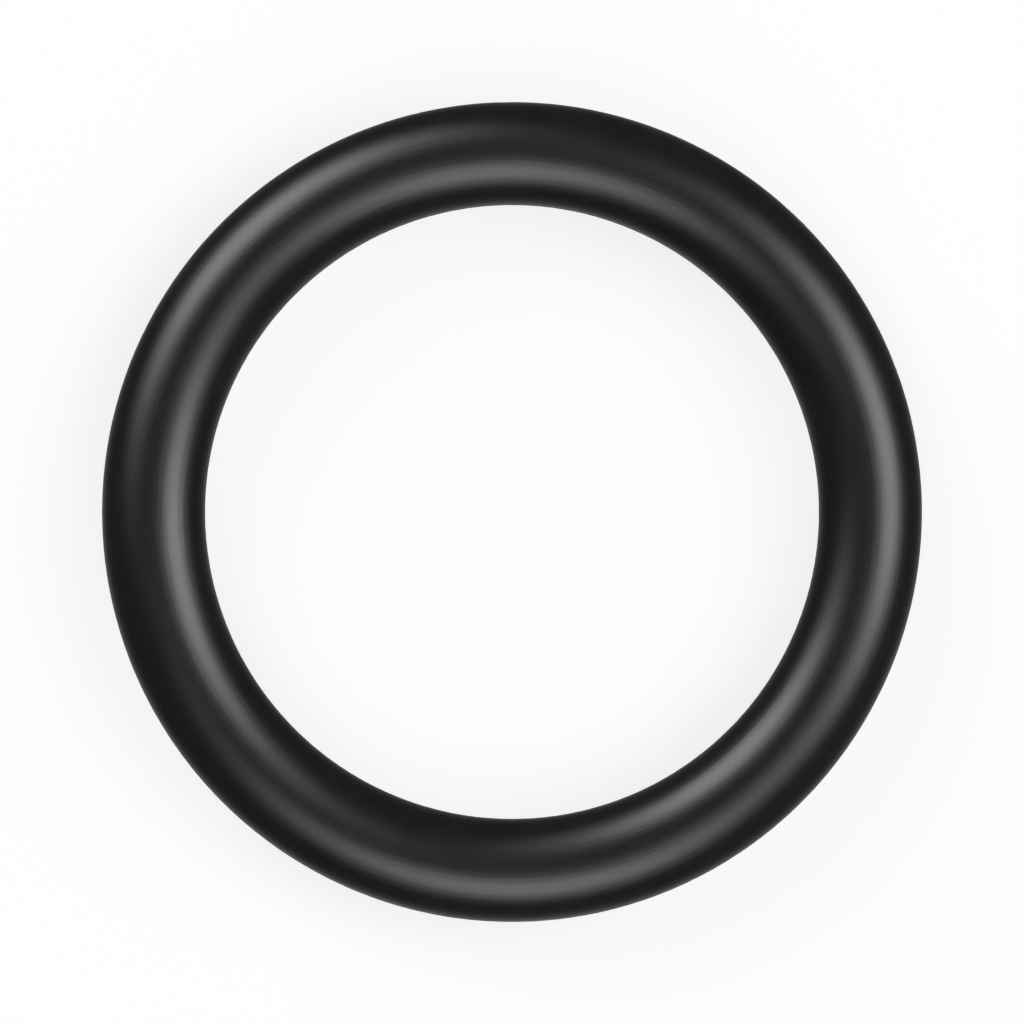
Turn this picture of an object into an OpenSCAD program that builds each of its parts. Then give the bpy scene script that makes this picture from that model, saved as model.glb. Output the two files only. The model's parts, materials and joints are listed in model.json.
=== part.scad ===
// Moulded rubber O-ring of round section, lying flat.
// The origin is the centre of the ring, on its axis and in its middle plane. +Z is the axis.

/* [Ring] */
// Inside diameter of the round rubber, across the hole
inside_d = 18; // [8:0.5:200]
// Diameter of the round rubber section
section_d = 3; // [1:0.1:8]

/* [Mould line] */
// Width of the trimmed line that the two mould halves leave round the inside and the outside
line_w = 0.1; // [0.04:0.02:0.4]
// Height of the trimmed line above the round section
line_h = 0.01; // [0.005:0.005:0.1]

/* [Hidden] */
$fn = 180;

// Radius of the circle that the centre of the section follows
centre_r = (inside_d + section_d) / 2;

// The round section, drawn about its own centre.
module rubber_section() {
    circle(d = section_d);
}

// The trimmed mould line: one flat bar through the middle plane, whose two ends
// stand out of the section as narrow lands, on the inside and on the outside.
module mould_line_section() {
    square([section_d + 2 * line_h, line_w], center = true);
}

// The ring is moulded as one piece, so the section and its mould line turn together.
module o_ring() {
    color("#1d1d1d")
    rotate_extrude()
    translate([centre_r, 0]) {
        rubber_section();
        mould_line_section();
    }
}

o_ring();
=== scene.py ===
import bpy
import json
import math
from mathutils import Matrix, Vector


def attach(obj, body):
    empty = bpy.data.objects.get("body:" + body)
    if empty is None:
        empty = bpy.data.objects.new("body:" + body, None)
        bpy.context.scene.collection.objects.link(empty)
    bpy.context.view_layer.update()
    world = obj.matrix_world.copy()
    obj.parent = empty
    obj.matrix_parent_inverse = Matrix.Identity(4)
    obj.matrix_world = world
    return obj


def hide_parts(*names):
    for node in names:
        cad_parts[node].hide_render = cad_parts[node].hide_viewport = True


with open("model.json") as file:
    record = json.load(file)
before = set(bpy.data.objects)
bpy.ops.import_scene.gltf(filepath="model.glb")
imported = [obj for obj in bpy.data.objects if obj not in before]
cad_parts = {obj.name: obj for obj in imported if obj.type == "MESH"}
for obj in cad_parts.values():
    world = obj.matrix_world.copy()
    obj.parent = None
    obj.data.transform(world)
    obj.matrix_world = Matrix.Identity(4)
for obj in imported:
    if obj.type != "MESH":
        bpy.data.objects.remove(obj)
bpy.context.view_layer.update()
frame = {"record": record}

# The ring is one moulding of black rubber with a round section. It comes out of a mould whose
# two halves meet in its middle plane. The thin flash that creeps in between them is trimmed
# off, which leaves a fine raised line round the outside and the inside.
MM = 0.001
lands = {}
for mount in frame["record"]["mounts"]:
    if mount["dims"]:
        lands[mount["name"]] = mount["dims"]["r_mm"] * MM
line_height = 0.01 * MM
line_width = 0.1 * MM
centre_radius = (lands["outside_land"] + lands["inside_land"]) / 2
section_radius = (lands["outside_land"] - lands["inside_land"]) / 2 - line_height
section_points = 96
line_steps = 4
steps_round = 480
tiny = 0.001 * MM

# The section is drawn first: a circle whose two points in the middle plane are cut into short
# runs, and the middle of each run is pushed out to the height of the line.
bpy.ops.object.select_all(action="DESELECT")
bpy.ops.mesh.primitive_circle_add(
    vertices=section_points,
    radius=section_radius,
    location=(centre_radius, 0, 0),
    rotation=(math.radians(90), 0, 0),
)
ring = bpy.context.object
ring.name = ring.data.name = "rubber_ring"
bpy.ops.object.transform_apply(location=True, rotation=True, scale=True)


def select_near_middle(height):
    """Selects the ring's points that lie within height of the middle plane."""
    bpy.ops.object.mode_set(mode="EDIT")
    bpy.ops.mesh.select_mode(type="VERT")
    bpy.ops.mesh.select_all(action="DESELECT")
    bpy.ops.object.mode_set(mode="OBJECT")
    for vertex in ring.data.vertices:
        vertex.select = abs(vertex.co.z) < height
    bpy.ops.object.mode_set(mode="EDIT")


select_near_middle(tiny)
bpy.ops.mesh.bevel(offset=line_width / 2, segments=line_steps, affect="VERTICES")
select_near_middle(line_width / 2 - tiny)
bpy.ops.transform.resize(
    value=(1 + line_height / section_radius, 1, 1),
    center_override=(centre_radius, 0, 0),
)

# The mould carries the section once round the axis, and its two ends merge with no seam.
bpy.ops.mesh.select_all(action="SELECT")
bpy.ops.mesh.spin(
    steps=steps_round,
    angle=math.tau,
    center=(0, 0, 0),
    axis=(0, 0, 1),
    use_auto_merge=True,
)
bpy.ops.mesh.select_all(action="SELECT")
bpy.ops.mesh.normals_make_consistent(inside=False)

# The trimming blade tears the line a little, so its crest is uneven.
torn_depth = 0.003 * MM
select_near_middle(line_width / 2 - tiny)
bpy.ops.transform.vertex_random(offset=torn_depth, uniform=0, normal=1, seed=4)
bpy.ops.object.mode_set(mode="OBJECT")
bpy.ops.object.shade_smooth()

# The rubber is black and satin, coloured all through with soot that is mixed in a little
# unevenly. Its skin is a print of the mould: rings that the turning tool left in the steel, a
# fine grain, and soft swells where the rubber flowed together.
sootiest = 0.0035
soot_change = 0.008
soot_size = 1.5 * MM
# Below a roughness of about 0.274 the renderer's noise filter takes the rubber for a mirror
# and outlines its glossier patches, so even the glossiest patch is a little duller than that.
glossiest = 0.275
gloss_change = 0.03
swell_size = 2.2 * MM
swell_height = 0.01 * MM
tool_pitch = 0.09 * MM
tool_run = 2.5 * MM
tool_height = 0.0035 * MM
grain_size = 0.06 * MM
grain_height = 0.002 * MM
refraction = 1.65
rubber = bpy.data.materials.new("satin_rubber")
rubber.use_nodes = True
ring.data.materials.append(rubber)


def add_node(tree, kind, sockets, **options):
    """Adds a shader node, sets its options, and fills its sockets with values or with outputs."""
    made = tree.nodes.new("ShaderNode" + kind)
    for option, value in options.items():
        setattr(made, option, value)
    for socket, value in sockets.items():
        if isinstance(value, bpy.types.NodeSocket):
            tree.links.new(value, made.inputs[socket])
        else:
            made.inputs[socket].default_value = value
    return made


def calculate(tree, operation, *numbers):
    """Adds a Math node over numbers or outputs, and returns its result."""
    sockets = dict(enumerate(numbers))
    return add_node(tree, "Math", sockets, operation=operation).outputs[0]


skin = rubber.node_tree
place = add_node(skin, "TexCoord", {}).outputs["Object"]


def blotches(size, detail):
    """Adds noise from 0 to 1 over the rubber, in blotches of the given size."""
    sockets = {"Vector": place, "Scale": 1 / size, "Detail": detail}
    return add_node(skin, "TexNoise", sockets).outputs["Fac"]


soot = blotches(soot_size, detail=3)
swells = blotches(swell_size, detail=1)
grain = blotches(grain_size, detail=2)

# The tool's rings run along the ring, so they change with the radius and the height, and only
# slowly on the way round.
drawn_out = tool_pitch / tool_run
flat = add_node(skin, "VectorMath", {0: place, 1: (1, 1, 0)}, operation="MULTIPLY").outputs[0]
radius = add_node(skin, "VectorMath", {0: flat}, operation="LENGTH").outputs["Value"]
sockets = {0: place, 1: (drawn_out, drawn_out, 1)}
along = add_node(skin, "VectorMath", sockets, operation="MULTIPLY").outputs[0]
sockets = {"Vector": along, "W": radius, "Scale": 1 / tool_pitch, "Detail": 2}
tool_rings = add_node(skin, "TexNoise", sockets, noise_dimensions="4D").outputs["Fac"]

# The trimmed line is torn rubber with an uneven edge, greyer and duller than the moulded skin.
torn_grey = 0.006
torn_dullness = 0.15
torn_height = 0.01 * MM
torn_edge = 0.4 * line_width
line_edge = (line_width + torn_edge) / 2
edge_blur = 0.1 * line_edge
height = add_node(skin, "SeparateXYZ", {0: place}).outputs["Z"]
off_middle = calculate(skin, "ABSOLUTE", height)
uneven = calculate(skin, "MULTIPLY_ADD", grain, torn_edge, off_middle)
sockets = {"Value": uneven, "From Min": line_edge + edge_blur, "From Max": line_edge - edge_blur}
trimmed = add_node(skin, "MapRange", sockets, interpolation_type="SMOOTHSTEP").outputs[0]
torn = calculate(skin, "MULTIPLY", trimmed, grain)

shader = skin.nodes["Principled BSDF"]
shader.inputs["IOR"].default_value = refraction
black = calculate(skin, "MULTIPLY_ADD", soot, soot_change, sootiest)
black = calculate(skin, "MULTIPLY_ADD", trimmed, torn_grey, black)
skin.links.new(black, shader.inputs["Base Color"])
dullness = calculate(skin, "MULTIPLY_ADD", swells, gloss_change, glossiest)
dullness = calculate(skin, "MULTIPLY_ADD", trimmed, torn_dullness, dullness)
skin.links.new(dullness, shader.inputs["Roughness"])
relief = calculate(skin, "MULTIPLY", swells, swell_height)
relief = calculate(skin, "MULTIPLY_ADD", tool_rings, tool_height, relief)
relief = calculate(skin, "MULTIPLY_ADD", grain, grain_height, relief)
relief = calculate(skin, "MULTIPLY_ADD", torn, torn_height, relief)
bump = add_node(skin, "Bump", {"Height": relief, "Distance": 1})
skin.links.new(bump.outputs["Normal"], shader.inputs["Normal"])

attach(ring, "root")
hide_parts("o_ring")

# The floor is a wide sheet of white paper that lies under the ring and fills the view from
# every side. For the camera, a mirror or a glass the paper glows in part, which lightens the
# ring's shadow and puts no light on the ring.
floor_radius = 2.5
floor_points = 96
paper_white = (0.98, 0.98, 0.98, 1)
glow = 0.8
bpy.ops.object.select_all(action="DESELECT")
bpy.ops.mesh.primitive_circle_add(
    vertices=floor_points,
    radius=floor_radius,
    location=(0, 0, -section_radius),
    fill_type="NGON",
)
bpy.ops.object.transform_apply(location=True, rotation=True, scale=True)
floor = bpy.context.object
floor.name = floor.data.name = "studio_floor"
paper = bpy.data.materials.new("white_paper")
paper.use_nodes = True
floor.data.materials.append(paper)
sheet = paper.node_tree
matt = sheet.nodes["Principled BSDF"]
matt.inputs["Base Color"].default_value = paper_white
matt.inputs["Roughness"].default_value = 1
matt.inputs["Specular IOR Level"].default_value = 0
seen = add_node(sheet, "LightPath", {}).outputs
looked_at = calculate(sheet, "ADD", seen["Is Camera Ray"], seen["Is Glossy Ray"])
looked_at = calculate(sheet, "ADD", looked_at, seen["Is Transmission Ray"])
glowing = calculate(sheet, "MULTIPLY", looked_at, glow)
white = add_node(sheet, "Emission", {"Color": (1, 1, 1, 1), "Strength": 1}).outputs[0]
mixed = add_node(sheet, "MixShader", {0: glowing, 1: matt.outputs[0], 2: white}).outputs[0]
sheet.links.new(mixed, sheet.nodes["Material Output"].inputs["Surface"])
# The sheet is kept out of the ring's own gloss, so that the flanks stay dark down to a thin
# bright rim. They mirror the dim studio below it instead.
floor.visible_glossy = False

# Three soft lamps stand round the ring: one behind it on the left, one on its right, and a
# weaker one in front. They are so far away that they light the whole floor evenly. Each has its
# tilt from overhead and its bearing from +X, both in degrees, and its power.
lamps = [("left", 61, 133, 1.77), ("right", 46, 7, 1.77), ("front", 42, -87, 1.15)]
# A lamp is a nest of round sources, so that it fades from its middle out. Each source has the
# degrees that it looks wide and its share of the lamp's power.
nest = [(30, 0.2), (50, 0.5), (74, 0.3)]
for name, tilt, bearing, power in lamps:
    for width, share in nest:
        turn = (0, math.radians(tilt), math.radians(bearing))
        bpy.ops.object.light_add(type="SUN", rotation=turn)
        lamp = bpy.context.object
        lamp.name = lamp.data.name = f"{name}_lamp_{width}"
        lamp.data.angle = math.radians(width)
        lamp.data.energy = power * share

# The rest of the studio is dim. It is a little lighter below the ring and in front of it, and
# the ring's flanks mirror that in their thin bright rim.
room_level = 0.05
floor_level = 0.3
floor_spread = 4.8
forward_lean = 0.23
towards_floor = Vector((0, -forward_lean, -1)).normalized()
studio = bpy.data.worlds.new("dim_studio")
bpy.context.scene.world = studio
studio.use_nodes = True
room = studio.node_tree
look = add_node(room, "TexCoord", {}).outputs["Generated"]
sockets = {0: look, 1: towards_floor}
down = add_node(room, "VectorMath", sockets, operation="DOT_PRODUCT").outputs["Value"]
down = calculate(room, "MAXIMUM", down, 0)
fade = calculate(room, "POWER", down, floor_spread)
level = calculate(room, "MULTIPLY_ADD", fade, floor_level, room_level)
backdrop = room.nodes["Background"]
backdrop.inputs["Color"].default_value = (1, 1, 1, 1)
room.links.new(level, backdrop.inputs["Strength"])

# The camera looks straight down, from so far away that the view is almost parallel. The ring's
# outside fills four fifths of the picture.
fill = 0.8
lens = 800
picture = 2 * (centre_radius + section_radius) / fill
bpy.ops.object.camera_add(rotation=(0, 0, 0))
camera = bpy.context.object
camera.data.lens = lens
camera.location = (0, 0, picture * lens / camera.data.sensor_width)
bpy.context.scene.camera = camera
bpy.context.scene.view_settings.view_transform = "Standard"
